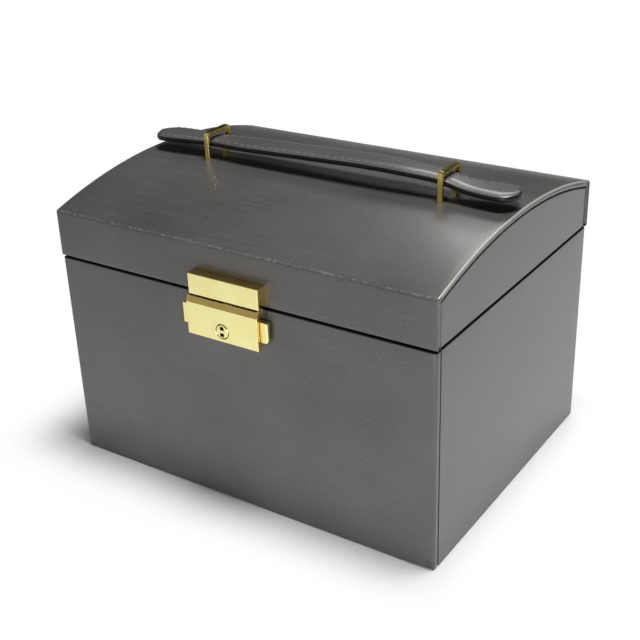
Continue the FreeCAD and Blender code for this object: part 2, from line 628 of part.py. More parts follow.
def loop_parts():
    """Handle loops of flat brass strip, and the plates they are clinched over."""
    strip_x, strip = LOOP_STRIP
    half = LOOP_WIDTH / 2
    plate_z = CROWN_Z - LID_WALL - CLINCH
    dome = lid_block(-X2, X2, 0, LID_BOTTOM)
    under = lid_block(-X2, X2, LID_WALL, LID_BOTTOM)
    plate_inner = lid_block(-X2, X2, LID_WALL + CLINCH, LID_BOTTOM)
    parts = {}
    plates = []
    for name, x in zip(("left", "right"), LOOP_X):
        x0 = x - strip_x / 2
        outer = box(x0, x0 + strip_x, HANDLE_Y - half, HANDLE_Y + half, CROWN_Z - 3, LOOP_TOP)
        outer = rounded(outer, LOOP_BEND, lambda e: runs_along(e, 0) and middle(e).z > LOOP_TOP - 0.01)
        window = box(x0 - 1, x0 + strip_x + 1, HANDLE_Y - half + strip, HANDLE_Y + half - strip,
                     CROWN_Z - 0.2 + strip, LOOP_TOP - strip)
        window = rounded(window, LOOP_BEND - strip, lambda e: runs_along(e, 0))
        gap = half - strip - LOOP_FOOT
        opening = box(x0 - 1, x0 + strip_x + 1, HANDLE_Y - gap, HANDLE_Y + gap, CROWN_Z - 4, CROWN_Z + 6)
        bent = cut(outer, [window, opening])
        edges = [e for e in bent.Edges
                 if abs(abs(middle(e).x - x) - strip_x / 2) < 0.01 and middle(e).z > CROWN_Z + 3]
        bent = bent.makeChamfer(0.4, edges)
        prongs = loop_prongs(x, PRONG_RADIUS, plate_z - 0.3)
        heads = loop_prongs(x, PRONG_RADIUS * 1.8, plate_z - 0.8)
        room = box(x - 9, x + 9, -20, 20, plate_z - 2, plate_z)
        prongs += [head.common(room) for head in heads]
        parts[f"{name}_handle_loop"] = fuse([bent.cut(dome)] + prongs)
        patch = box(x - 5, x + 5, HANDLE_Y - 12, HANDLE_Y + 12, DOME_JOINT_Z, CROWN_Z)
        plate = under.cut(plate_inner).common(patch)
        plates.append(cut(plate, [parts[f"{name}_handle_loop"]]))
    parts["loop_clinch_plates"] = Part.makeCompound(plates)
    return parts


def strap():
    """The strap: wide round ends, narrow at the loops, and bowed up between them.

    side lists its half widths along x, and bow how far it lies below its top.
    """
    x0, x1 = STRAP_X
    grip, neck, end = STRAP_HALF
    left, right = LOOP_X
    round_end = 9.0
    shoulder = end * 0.95
    side = [(x0 + round_end, shoulder), (x0 + 17.0, end), (left - 14.0, (end + neck) / 2), (left, neck),
            (left + 14.0, (grip + neck) / 2), (left + 30.0, grip), (right - 30.0, grip),
            (right - 14.0, (grip + neck) / 2), (right, neck), (right + 14.0, (end + neck) / 2),
            (x1 - 17.0, end), (x1 - round_end, shoulder)]
    edges = []
    for sign in (1, -1):
        curve = Part.BSplineCurve()
        curve.interpolate([V(x, HANDLE_Y + sign * y, 0) for x, y in side])
        edges.append(curve.toShape())
    for tip, inward in ((x0, round_end), (x1, -round_end)):
        near = V(tip + inward, HANDLE_Y - shoulder, 0)
        far = V(tip + inward, HANDLE_Y + shoulder, 0)
        edges.append(Part.Arc(near, V(tip, HANDLE_Y, 0), far).toShape())
    edges = Part.__sortEdges__(edges)
    column = Part.Face(Part.Wire(edges)).extrude(V(0, 0, 40))
    column.translate(V(0, 0, STRAP_TOP - 30))

    bow = [(x0 - 3.0, 4.6), (left - 20.0, 3.4), (left + 19.0, 2.6), (-10.0, 1.2), (38.0, 0),
           (right - 4.0, 1.4), (right + 11.0, 4.0), (x1 - 14.0, 4.6), (x1 + 3.0, 4.4)]
    lines = []
    for drop in (0, STRAP_THICK):
        curve = Part.BSplineCurve()
        curve.interpolate([V(x, HANDLE_Y - 20, STRAP_TOP - drop - sag) for x, sag in bow])
        lines.append(curve.toShape())
    closing = [Part.makeLine(lines[0].valueAt(at), lines[1].valueAt(at))
               for at in (lines[0].FirstParameter, lines[0].LastParameter)]
    band = Part.Face(Part.Wire(Part.__sortEdges__(lines + closing))).extrude(V(0, 40, 0))
    return column.common(band)


os.makedirs("parts", exist_ok=True)
pieces = {}
pieces.update(case_parts())
for leaf_name, key in (("left", "0"), ("right", "1")):
    pieces[f"{leaf_name}_hinge_case_leaf"] = hinges["case_leaf_" + key]
    pieces[f"{leaf_name}_hinge_lid_leaf"] = hinges["lid_leaf_" + key]
pieces["hinge_pins"] = Part.makeCompound(hinges["pins"])
pieces["hinge_screws_case"] = Part.makeCompound(hinges["case_screws"])
pieces["hinge_screws_lid"] = Part.makeCompound(hinges["lid_screws"])
pieces.update(drawer_parts("lower", BAY_FLOOR_TOP, SHELF_Z[0], ()))
pieces.update(drawer_parts("upper", SHELF_Z[1], TRAY_FLOOR_Z[0], (-35.0, 35.0)))
pieces.update(flap_parts())
pieces["left_button"] = button(-1)
pieces["right_button"] = button(1)
pieces.update(key_parts())
pieces.update(lid_parts())
pieces["handle_strap"] = strap()
for node, shape in pieces.items():
    save(node, shape)
print(len(pieces), "nodes")
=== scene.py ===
# %% [markdown]
# A jewellery box covered in pewter leather, with a domed lid, a brass press lock and a strap handle. The
# hard parts of the box are already modelled as solids. This script dresses them: it gives the boards their
# leather, the strap its stitches, the tray its padded ring rolls and every piece a finish, then lights the
# box the way a catalogue photograph does. All lengths are in metres.

# %% Load the solids
import bpy
import bmesh
import json
import math
from mathutils import Matrix, Vector, noise


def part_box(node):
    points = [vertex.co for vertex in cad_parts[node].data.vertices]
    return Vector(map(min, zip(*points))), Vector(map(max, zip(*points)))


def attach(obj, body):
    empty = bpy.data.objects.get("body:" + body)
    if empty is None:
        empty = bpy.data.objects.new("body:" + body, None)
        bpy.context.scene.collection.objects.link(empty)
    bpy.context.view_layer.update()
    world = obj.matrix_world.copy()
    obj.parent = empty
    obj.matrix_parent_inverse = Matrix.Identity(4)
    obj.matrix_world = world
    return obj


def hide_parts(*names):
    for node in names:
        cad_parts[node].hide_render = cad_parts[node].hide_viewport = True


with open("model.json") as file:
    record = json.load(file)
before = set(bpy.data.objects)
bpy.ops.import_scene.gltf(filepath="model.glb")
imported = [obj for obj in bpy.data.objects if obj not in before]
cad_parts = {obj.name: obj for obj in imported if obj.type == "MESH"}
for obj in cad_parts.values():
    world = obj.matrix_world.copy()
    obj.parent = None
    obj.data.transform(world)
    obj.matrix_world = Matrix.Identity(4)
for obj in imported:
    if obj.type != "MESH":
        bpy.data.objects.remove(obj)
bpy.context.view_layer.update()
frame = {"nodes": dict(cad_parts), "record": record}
nodes = frame["nodes"]

# %% [markdown]
# The camera stands in front of the box and to its right, a little above it. Its place was worked out from
# the box's corners, so the render can be laid over a photograph of the real thing. A camera is turned in
# three steps: its heading, how far it looks down, and a slight tilt of the horizon, all in degrees.

# %% Camera
HEADING, TILT, ROLL = 34.184, 63.843, -2.067
CAMERA_PLACE = (0.322196, -0.484704, 0.357481)
FOCAL_LENGTH, SENSOR_WIDTH = 64.132, 36.0
FARTHEST = 50.0
camera_data = bpy.data.cameras.new("camera")
camera_data.lens = FOCAL_LENGTH
camera_data.sensor_width = SENSOR_WIDTH
camera_data.clip_end = FARTHEST
camera = bpy.data.objects.new("camera", camera_data)
bpy.context.scene.collection.objects.link(camera)
turn = Matrix.Rotation(math.radians(HEADING), 4, "Z") @ Matrix.Rotation(math.radians(TILT), 4, "X")
turn = turn @ Matrix.Rotation(math.radians(ROLL), 4, "Z")
camera.matrix_world = Matrix.Translation(CAMERA_PLACE) @ turn
bpy.context.scene.camera = camera
print("camera:", [round(v, 3) for v in camera.location])

# %% [markdown]
# Shader maths is easier to read as sums than as boxes and wires. A small class wraps a socket, so an
# expression such as a + b or 1 - mask adds its own Math nodes. Painter makes every other node: it takes the
# node's type, its settings, and the values or links of its sockets.

# %% Sums on sockets
class Sum:
    """A number socket that can take part in sums."""

    def __init__(self, painter, socket):
        self.painter = painter
        self.socket = socket

    def join(self, operation, first, second):
        return self.painter.add("ShaderNodeMath", {"operation": operation}, {0: first, 1: second})

    def __add__(self, other):
        return self.join("ADD", self, other)

    def __radd__(self, other):
        return self.join("ADD", other, self)

    def __sub__(self, other):
        return self.join("SUBTRACT", self, other)

    def __rsub__(self, other):
        return self.join("SUBTRACT", other, self)

    def __mul__(self, other):
        return self.join("MULTIPLY", self, other)

    def __rmul__(self, other):
        return self.join("MULTIPLY", other, self)

    def __pow__(self, other):
        return self.join("POWER", self, other)

    def size(self):
        return self.join("ABSOLUTE", self, 0.0)

    def over(self, other):
        return self.join("GREATER_THAN", self, other)

    def at_least(self, other):
        return self.join("MAXIMUM", self, other)


class Painter:
    """Builds the nodes of a material or of the world."""

    def __init__(self, owner):
        self.owner = owner
        self.owner.use_nodes = True
        self.tree = self.owner.node_tree
        self.tree.nodes.clear()

    def add(self, kind, settings=None, inputs=None, output=0):
        """One node: settings first, then its sockets by name or number."""
        node = self.tree.nodes.new(kind)
        for key, value in (settings or {}).items():
            setattr(node, key, value)
        for key, value in (inputs or {}).items():
            socket = node.inputs[key]
            if isinstance(value, Sum):
                self.tree.links.new(value.socket, socket)
            else:
                socket.default_value = value
        return Sum(self, node.outputs[output]) if node.outputs else None

    def axis(self, kind, number):
        """One axis of a texture coordinate: 0 is the length, 1 the depth and 2 the height."""
        vector = self.add("ShaderNodeTexCoord", output=kind)
        return self.add("ShaderNodeSeparateXYZ", {}, {0: vector}, output=number)

    def place(self, scale):
        """Object coordinates, stretched by a scale along each axis."""
        where = self.add("ShaderNodeTexCoord", output="Object")
        return self.add("ShaderNodeMapping", {"vector_type": "POINT"}, {"Vector": where, "Scale": scale})

    def noise(self, scale, detail=3.0, roughness=0.5):
        """Soft noise from 0 to 1; scale is in patches per metre along each axis."""
        settings = {"noise_dimensions": "3D"}
        inputs = {"Vector": self.place(scale), "Scale": 1.0, "Detail": detail, "Roughness": roughness}
        return self.add("ShaderNodeTexNoise", settings, inputs)

    def blend(self, factor, low, high):
        """A colour between two colours."""
        settings = {"data_type": "RGBA"}
        return self.add("ShaderNodeMix", settings, {0: factor, 6: low, 7: high}, output=2)

    def bump(self, height, distance, strength=1.0):
        inputs = {"Height": height, "Distance": distance, "Strength": strength}
        return self.add("ShaderNodeBump", {}, inputs)

    def surface(self, inputs):
        """The main shader, wired to the material's output."""
        shader = self.add("ShaderNodeBsdfPrincipled", {}, inputs)
        self.add("ShaderNodeOutputMaterial", {}, {"Surface": shader})
        return self.owner


def srgb(red, green, blue):
    """A colour picked on screen, as the linear values a shader takes."""
    def linear(value):
        value /= 255
        return value / 12.92 if value <= 0.04045 else ((value + 0.055) / 1.055) ** 2.4
    return (linear(red), linear(green), linear(blue), 1.0)


print("shader helpers ready")

# %% [markdown]
# The leather is a coated one in a dark pewter colour. Its grain is brushed: fine streaks that run level
# round the box, along the length at the front and on the lid, and from front to back on the two ends.
# Streaks are noise stretched along one axis. Two of them are made, and the surface's own direction chooses
# between them, so one finish fits the whole box. A thin clear coat gives the satin gloss that mirrors the
# brass a little.
#
# The same finish in other colours serves the rest, so the grain runs on across it. Where the skin bends,
# light patches are a painted highlight. The strap is dark and dull wherever it doesn't face up, which is
# its cut edge and underside: dark edge paint, made dark enough to stand in for the shade under the strap
# as well. The lip of the dome has a pale, shiny painted highlight, and the grooves and seams, where hardly
# any light gets in, are painted nearly black as painted shade.

# %% Pewter leather
STREAK_ALONG, STREAK_ACROSS = 45.0, 1500.0
FACES_END, FACES_UP = 0.6, 0.62
BEND_FROM, BEND_TO = 0.45, 0.93
HIGHLIGHT_FROM, HIGHLIGHT_GAIN = 0.44, 2.2


def pewter_leather(name, light, dark, gloss, edge=None, painted_bend_highlight=None):
    """Leather between two tones, with a colour for what doesn't face up or a painted highlight on bends."""
    paint = Painter(bpy.data.materials.new(name))
    along_length = paint.noise((STREAK_ALONG, STREAK_ACROSS, STREAK_ACROSS), detail=4.0)
    along_depth = paint.noise((STREAK_ACROSS, STREAK_ALONG, STREAK_ACROSS), detail=4.0)
    at_end = paint.axis("Normal", 0).size().over(FACES_END)
    streaks = along_length * (1 - at_end) + along_depth * at_end
    cloud = paint.noise((16.0, 16.0, 22.0), detail=2.0)
    pores = paint.noise((900.0, 900.0, 900.0), detail=3.0)
    tone = (streaks - 0.5) * 0.6 + (pores - 0.5) * 0.8 + (cloud - 0.5) * 0.9 + 0.5
    colour = paint.blend(tone, dark, light)
    upward = paint.axis("Normal", 2)
    # Light patches on the bends are a painted highlight.
    if painted_bend_highlight:
        on_bend = upward.over(BEND_FROM) * (1 - upward.over(BEND_TO))
        patches = paint.noise((600.0, 600.0, 600.0), detail=1.0)
        colour = paint.blend(on_bend * (patches - HIGHLIGHT_FROM) * HIGHLIGHT_GAIN, colour, painted_bend_highlight)
    # What doesn't face up takes dark edge paint, dark enough to stand in for the shade under the strap too.
    if edge:
        colour = paint.blend(upward.over(FACES_UP), edge, colour)
        gloss = gloss * upward.over(FACES_UP)
    roughness = 0.35 + (streaks - 0.5) * 0.22 + (cloud - 0.5) * 0.1
    grain = streaks * 0.5 + pores * 0.5
    return paint.surface({
        "Base Color": colour, "Roughness": roughness, "Metallic": 0.25, "Coat Weight": gloss,
        "Coat Roughness": 0.2, "Normal": paint.bump(grain, 0.0002, 0.5)})


# Its bends carry light patches of painted highlight.
leather = pewter_leather("pewter leather", srgb(102, 100, 98), srgb(70, 69, 68), 0.4,
                         painted_bend_highlight=srgb(142, 140, 137))
# The strap's dark edge colour is edge paint and painted shade under the strap in one.
strap_leather = pewter_leather("strap leather", srgb(104, 103, 101), srgb(76, 75, 74), 0.6,
                               edge=srgb(14, 13, 13))
# The lip's pale, shiny colour is a painted highlight.
lip_highlight_leather = pewter_leather("leather with painted highlight", srgb(206, 204, 200), srgb(178, 176, 172), 1.0)
# Nearly black leather for the grooves and the seam is painted shade.
painted_shade_leather = pewter_leather("leather in shade", srgb(20, 20, 19), srgb(12, 12, 12), 0.0)
drawer_leather = pewter_leather("drawer leather", srgb(106, 105, 102), srgb(76, 75, 74), 0.3)
print("leather:", leather.name, len(leather.node_tree.nodes), "nodes")

# %% [markdown]
# Brass fittings are stamped, polished and lacquered to a pale gold. Polished metal shows its surroundings,
# so most of its look comes from the light around it; the finish adds faint polishing lines, soft clouds in
# the lacquer and a roughness that changes a little from place to place. The loops are a deeper yellow. A
# warm and a dark tone are painted half shade and painted shade on the faces of the lock that look away
# from the light.

# %% Brass
def polished_brass(name, light, dark, roughness):
    """Polished metal between two tones."""
    paint = Painter(bpy.data.materials.new(name))
    lines = paint.noise((120.0, 900.0, 2400.0), detail=3.0)
    cloud = paint.noise((90.0, 90.0, 90.0), detail=2.0)
    colour = paint.blend(cloud * 0.8 + lines * 0.2, dark, light)
    rough = roughness + (lines - 0.5) * 0.08 + (cloud - 0.5) * 0.06
    return paint.surface({
        "Base Color": colour, "Metallic": 1.0, "Roughness": rough,
        "Normal": paint.bump(lines, 0.00003, 0.25)})


brass = polished_brass("polished brass", srgb(253, 247, 188), srgb(240, 224, 142), 0.18)
loop_brass = polished_brass("loop brass", srgb(250, 228, 140), srgb(236, 206, 112), 0.18)
# Painted half shade and painted shade for the lock's faces that look away from the light.
half_shade_brass = polished_brass("brass in painted half shade", srgb(240, 212, 134), srgb(218, 184, 102), 0.2)
painted_shade_brass = polished_brass("brass in shade", srgb(74, 62, 44), srgb(44, 37, 28), 0.5)
print("brass:", brass.name)

# %% [markdown]
# Inside, the box is lined with short velvet over card. Velvet catches light at grazing angles, where its
# pile is seen from the side, so it takes a sheen; its colour wanders where the pile has been stroked.

# %% Velvet
def velvet_finish(name, light, dark):
    """Short velvet between two tones, with a sheen."""
    paint = Painter(bpy.data.materials.new(name))
    stroke = paint.noise((28.0, 40.0, 34.0), detail=3.0)
    pile = paint.noise((1800.0, 1800.0, 1800.0), detail=2.0)
    colour = paint.blend(stroke * 0.75 + pile * 0.25, dark, light)
    return paint.surface({
        "Base Color": colour, "Roughness": 0.85 + (pile - 0.5) * 0.2, "Sheen Weight": 0.5,
        "Sheen Roughness": 0.35, "Normal": paint.bump(pile, 0.0003, 0.6)})


velvet = velvet_finish("cream velvet", srgb(214, 202, 182), srgb(188, 174, 152))
pad_velvet = velvet_finish("ring roll velvet", srgb(220, 208, 188), srgb(186, 172, 150))
print("velvet:", velvet.name)

# %% [markdown]
# Four finishes are left: the black leather underneath, the fibreboard inside, spring wire and the mirror.
# They are plain, so one noise is enough for the colour, the roughness and the bump of each.

# %% Other finishes
def plain_finish(name, light, dark, scale, depth, roughness, metallic=0.0):
    """A finish between two tones that one noise mottles and roughens."""
    paint = Painter(bpy.data.materials.new(name))
    mottle = paint.noise(scale, detail=4.0)
    return paint.surface({
        "Base Color": paint.blend(mottle, dark, light), "Roughness": roughness + (mottle - 0.5) * 0.2,
        "Normal": paint.bump(mottle, depth, 0.5), "Metallic": metallic})


base_leather = plain_finish("black base leather", srgb(46, 45, 44), srgb(28, 28, 28),
                            (900.0, 900.0, 900.0), 0.0002, roughness=0.6)
fibreboard = plain_finish("fibreboard", srgb(176, 148, 112), srgb(142, 114, 82),
                          (700.0, 300.0, 700.0), 0.0001, roughness=0.8)
spring_wire = plain_finish("spring wire", srgb(170, 172, 176), srgb(120, 122, 126),
                           (300.0, 2000.0, 2000.0), 0.00002, roughness=0.3, metallic=1.0)
mirror_glass = plain_finish("mirror glass", srgb(244, 246, 246), srgb(236, 240, 240),
                            (20.0, 20.0, 20.0), 0.000001, roughness=0.03, metallic=1.0)
print("plain finishes:", base_leather.name, fibreboard.name, spring_wire.name, mirror_glass.name)

# %% [markdown]
# The part's record says which finish each solid takes. A solid has no material of its own yet, so a table
# turns the record's words into materials, and one loop hands them out. Only the two strap loops differ from
# it.

# %% Finishes on the solids
finishes = {"leather": leather, "base_leather": base_leather, "board": fibreboard, "velvet": velvet,
            "roll_velvet": pad_velvet, "drawer_leather": drawer_leather, "brass": brass,
            "spring_steel": spring_wire, "mirror": mirror_glass}
for part in frame["record"]["subparts"]:
    finish = finishes[part["material_slot"]]
    if "handle_loop" in part["node"]:
        finish = loop_brass
    mesh = nodes[part["node"]].data
    mesh.materials.clear()
    mesh.materials.append(finish)

# %% [markdown]
# The faces of the lock don't all look alike. Its sides and its upper bevels look away from the bright front
# of the room, so a warmer brass is painted on them as half shade. The key's slots and the gap under the
# hasp are deep and narrow, and get painted shade. A test on the place and the direction of each face picks
# those out and paints that shade on them.

# %% Shaded faces of the lock
KEY_X, KEY_Z = -0.002, 0.1047
SLOT_RADIUS, SLOT_FRONT = 0.0030, -0.0937
BORE_RADIUS, BORE_FRONT = 0.0045, -0.0939
FACES_SIDE = 0.7
BEVEL_BOTTOM = 0.115
TOP_FROM, GAP_BOTTOM, GAP_FRONT = 0.119, 0.116, -0.0924
SHADED_TONGUE = 0.1228


def shade(piece, finish, chosen):
    """Gives the faces that a test picks out their own finish: painted shade, or a painted highlight."""
    mesh = piece.data
    mesh.materials.append(finish)
    for polygon in mesh.polygons:
        if chosen(polygon.center, polygon.normal):
            polygon.material_index = len(mesh.materials) - 1


def near_key(centre, reach):
    """Whether a place lies within reach of the key's axis."""
    return (centre.x - KEY_X) ** 2 + (centre.z - KEY_Z) ** 2 < reach ** 2


def in_slots(centre, normal):
    """Whether a face of the key's barrel lies at the bottom of its slots."""
    return near_key(centre, SLOT_RADIUS) and centre.y > SLOT_FRONT


def in_bore(centre, normal):
    """Whether a face of the lock lies in the hole round the key."""
    return near_key(centre, BORE_RADIUS) and centre.y > BORE_FRONT


def on_case_bevel(centre, normal):
    """Whether a face of the lock belongs to its sides or its upper bevel."""
    return abs(normal.x) > FACES_SIDE or normal.z > 0.2 and centre.z > BEVEL_BOTTOM


def on_hasp_bevel(centre, normal):
    """Whether a face of the hasp belongs to its sides or its top."""
    return abs(normal.x) > FACES_SIDE or normal.z > 0.5


def in_gap(centre, normal):
    """Whether a face of the lock lies in the gap under the hasp."""
    on_top = normal.z > 0.95 and centre.z > TOP_FROM
    behind = centre.y > GAP_FRONT and abs(normal.x) < 0.9 and centre.z > GAP_BOTTOM
    return on_top or behind


def below_hasp(centre, normal):
    """Whether a face of the tongue shows below the hasp's cover or just inside it."""
    return centre.z < SHADED_TONGUE


# Painted shade in the slots, bore, gap and tongue, and painted half shade on the sides and bevels.
shade(nodes["key_cylinder"], painted_shade_brass, in_slots)
shade(nodes["lock_case"], half_shade_brass, on_case_bevel)
shade(nodes["lock_case"], painted_shade_brass, in_bore)
shade(nodes["lock_case"], painted_shade_brass, in_gap)
shade(nodes["hasp_cover"], half_shade_brass, on_hasp_bevel)
shade(nodes["hasp_tongue"], painted_shade_brass, below_hasp)
print("lock case materials:", len(nodes["lock_case"].data.materials))

# %% [markdown]
# The soft pieces are made here rather than as solids. Each starts as a bmesh, in which a mesh is built
# point by point, and some take their last shape from a modifier. One helper turns a bmesh into an object
# and another turns what the modifiers show into a plain mesh. Two more keep a share between 0 and 1, one of
# them with a soft start and end.

# %% Helpers for soft pieces
def new_piece(name, bm, material):
    """A mesh object from a bmesh, smooth, with one material."""
    mesh = bpy.data.meshes.new(name)
    bm.to_mesh(mesh)
    bm.free()
    mesh.materials.append(material)
    mesh.polygons.foreach_set("use_smooth", [True] * len(mesh.polygons))
    piece = bpy.data.objects.new(name, mesh)
    bpy.context.scene.collection.objects.link(piece)
    return piece


def plain_mesh(piece):
    """Turns what a piece's modifiers make into its own mesh."""
    graph = bpy.context.evaluated_depsgraph_get()
    mesh = bpy.data.meshes.new_from_object(piece.evaluated_get(graph))
    piece.modifiers.clear()
    piece.data = mesh
    return piece


def clamp(share):
    """A share, kept between 0 and 1."""
    return max(0.0, min(1.0, share))


def smooth(share):
    """A share from 0 to 1 that starts and ends softly."""
    share = clamp(share)
    return share * share * (3 - 2 * share)


print("piece helpers ready")

# %% [markdown]
# Leather that is glued over a board isn't quite flat: it swells a little between the edges, where the glue
# and the board give. A copy of the front's skin is cut into small squares, and each point is lifted along
# its normal by a soft noise that fades out towards the edges, so the skin stays seated where another piece
# meets it. The case's skin and the end panels of the lid are pulled tight, so their copies stay flat. The
# upper edges of front and case lie in the seam under the lid and take nearly black leather as painted
# shade.

# %% Leather skins
TOUCHING = 1e-7
FLAT = math.radians(0.5)
SQUARE = 0.008
SWELL_HEIGHT, SWELL_PATCH, SWELL_FADE = 0.00012, 0.035, 0.012
SEAM_BOTTOM = 0.1185


def slice_evenly(bm, spacing):
    """Cuts a mesh along every axis into squares."""
    for axis in range(3):
        low = min(vertex.co[axis] for vertex in bm.verts)
        high = max(vertex.co[axis] for vertex in bm.verts)
        count = int((high - low) / spacing)
        normal = Vector([1.0 if index == axis else 0.0 for index in range(3)])
        for step in range(1, count):
            point = normal * (low + (high - low) * step / count)
            geometry = bm.verts[:] + bm.edges[:] + bm.faces[:]
            bmesh.ops.bisect_plane(bm, geom=geometry, dist=TOUCHING, plane_co=point, plane_no=normal)


def swell(bm, height, low, high):
    """Lifts a panel's points by soft noise that fades out near the edges of its box."""
    spans = [high[i] - low[i] for i in range(3)]
    thin = spans.index(min(spans))
    for vertex in bm.verts:
        away = min(min(vertex.co[i] - low[i], high[i] - vertex.co[i]) for i in range(3) if i != thin)
        lift = noise.noise(vertex.co / SWELL_PATCH) * height * smooth(away / SWELL_FADE)
        vertex.co += vertex.normal * lift


def soft_copy(node, name, body, crease, spacing=None, height=None):
    """A copy of a leather solid that stands for it; edges sharper than crease, in degrees, stay sharp."""
    bm = bmesh.new()
    bm.from_mesh(nodes[node].data)
    bmesh.ops.remove_doubles(bm, verts=bm.verts, dist=TOUCHING)
    bmesh.ops.dissolve_limit(bm, angle_limit=FLAT, verts=bm.verts, edges=bm.edges)
    if spacing:
        slice_evenly(bm, spacing)
    bm.normal_update()
    low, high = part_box(node)
    if height:
        swell(bm, height, low, high)
    bmesh.ops.triangulate(bm, faces=[face for face in bm.faces if len(face.verts) > 4])
    piece = new_piece(name, bm, leather)
    piece.data.set_sharp_from_angle(angle=math.radians(crease))
    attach(piece, body)
    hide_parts(node)
    print(name, len(piece.data.polygons), "faces")
    return piece


def at_seam(centre, normal):
    """Whether a face belongs to the upper edge of the case, under the lid."""
    return centre.z > SEAM_BOTTOM and normal.z > 0.3


flap_leather = soft_copy("flap_cover", "flap_leather", "front_flap", 40, SQUARE, SWELL_HEIGHT)
case_leather = soft_copy("case_cover", "case_leather", "case", 8, SQUARE)
# The upper edges of the flap and the case get painted shade.
shade(flap_leather, painted_shade_leather, at_seam)
shade(case_leather, painted_shade_leather, at_seam)
soft_copy("lid_left_end_cover", "lid_left_end_leather", "lid", 3)
soft_copy("lid_right_end_cover", "lid_right_end_leather", "lid", 3)

# %% [markdown]
# The lid's leather is one sheet. It starts inside the front edge, turns round it, climbs the front, bends
# over into the dome and comes down at the back; at both ends it turns in round the dome's rim. That is a
# grid: one direction follows the arch, the other follows the length and tucks in at each end. Two rules
# give its points: the arch, drawn in by an inset, and the insets along the length.

# %% The lid's outline
WIDTH, DEPTH = 0.230, 0.176
LID_BOTTOM = 0.1209
LEATHER = 0.0008
BEND_RADIUS, LEAST_BEND = 0.0016, 0.0002
TUCK, LEAST_TUCK = 0.0032, 0.0003
CROWN = float(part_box("lid_cover")[1][2])
RISE = 0.0130
DOME_RADIUS = ((DEPTH / 2) ** 2 + RISE ** 2) / (2 * RISE)
DOME_CENTRE = CROWN - DOME_RADIUS
LIP_RADIUS = 0.0008
# How deep and how far inside the outline the skin steps behind the end panel.
GROOVE = ((0.00225, 0.0041), (0.00225, 0.00335), (0.0009, 0.0033), (0.00075, 0.0031), (0.00075, 0.0022),
          (0.0007, 0.0015), (0.0003, 0.0011))


def arch(inset, arc_steps=96, bend_steps=6, wall_steps=8, foot_steps=4):
    """Points (y, z) from the front's lower edge over the dome to the back's, drawn in by an inset."""
    hem = max(TUCK, inset + LEAST_TUCK)
    foot = min(LEATHER, hem - inset)
    bend = max(BEND_RADIUS - inset, LEAST_BEND)
    dome = DOME_RADIUS - inset
    wall = DEPTH / 2 - inset
    bend_y = wall - bend
    bend_z = DOME_CENTRE + math.sqrt((dome - bend) ** 2 - bend_y ** 2)
    lean = math.asin(bend_y / (dome - bend))
    half = [(DEPTH / 2 - hem, LID_BOTTOM)]
    for step in range(foot_steps + 1):
        angle = math.pi / 2 * step / foot_steps
        half.append((wall - foot + foot * math.sin(angle), LID_BOTTOM + foot * (1 - math.cos(angle))))
    for step in range(1, wall_steps):
        share = step / wall_steps
        half.append((wall, LID_BOTTOM + foot + (bend_z - LID_BOTTOM - foot) * share))
    for step in range(bend_steps + 1):
        angle = math.pi / 2 - (math.pi / 2 - lean) * step / bend_steps
        half.append((bend_y + bend * math.sin(angle), bend_z + bend * math.cos(angle)))
    for step in range(1, arc_steps // 2):
        angle = lean * (1 - 2 * step / arc_steps)
        half.append((dome * math.sin(angle), DOME_CENTRE + dome * math.cos(angle)))
    crown = [(0.0, CROWN - inset)]
    front = [(-y, z) for y, z in half]
    return front + crown + half[::-1]


def stations(count=56, lip_steps=6):
    """Pairs (x, inset) along the length; each end rounds a lip, then steps down behind the end panel."""
    rim = [(WIDTH / 2 - depth, inset) for depth, inset in GROOVE]
    inner = WIDTH / 2 - LIP_RADIUS
    for step in range(lip_steps + 1):
        angle = math.pi / 2 * step / lip_steps
        rim.append((inner + LIP_RADIUS * math.cos(angle), LIP_RADIUS * (1 - math.sin(angle))))
    middle = [(inner * (1 - 2 * step / count), 0.0) for step in range(1, count)]
    return rim + middle + [(-x, inset) for x, inset in rim[::-1]]


print("dome radius:", round(DOME_RADIUS, 4), "arch points:", len(arch(0.0)))

# %% [markdown]
# Now the rows of points become a skin, with a square face between each four neighbours, as a loft does.
# Points that fall together at the folds are merged. The faces are turned outwards before anything is lifted
# along its normal, and the faint swell dies away at the ends and the foot, where other pieces touch the
# sheet.

# %% The lid's sheet
MERGED = 1e-6
LID_PATCH, EDGE_KEPT, FOOT_FADE = 0.04, 0.002, 0.01


def grid_skin(rows):
    """A bmesh skin from rows of points, all of one length."""
    bm = bmesh.new()
    grid = [[bm.verts.new(point) for point in row] for row in rows]
    for near, far in zip(grid, grid[1:]):
        for index in range(len(near) - 1):
            bm.faces.new((near[index], far[index], far[index + 1], near[index + 1]))
    bmesh.ops.remove_doubles(bm, verts=bm.verts, dist=MERGED)
    bmesh.ops.dissolve_degenerate(bm, edges=bm.edges, dist=TOUCHING)
    return bm


bm = grid_skin([[Vector((x, y, z)) for y, z in arch(inset)] for x, inset in stations()])
bmesh.ops.recalc_face_normals(bm, faces=bm.faces)
outward = sum(face.normal.z * face.calc_area() for face in bm.faces)
if outward < 0:
    bmesh.ops.reverse_faces(bm, faces=bm.faces)
bm.normal_update()
for vertex in bm.verts:
    end_hold = clamp((WIDTH / 2 - EDGE_KEPT - abs(vertex.co.x)) / SWELL_FADE)
    foot_hold = clamp((vertex.co.z - LID_BOTTOM - EDGE_KEPT) / FOOT_FADE)
    vertex.co += vertex.normal * noise.noise(vertex.co / LID_PATCH) * SWELL_HEIGHT * end_hold * foot_hold
lid_leather = new_piece("lid_leather", bm, leather)
print("lid sheet:", len(lid_leather.data.polygons), "faces")

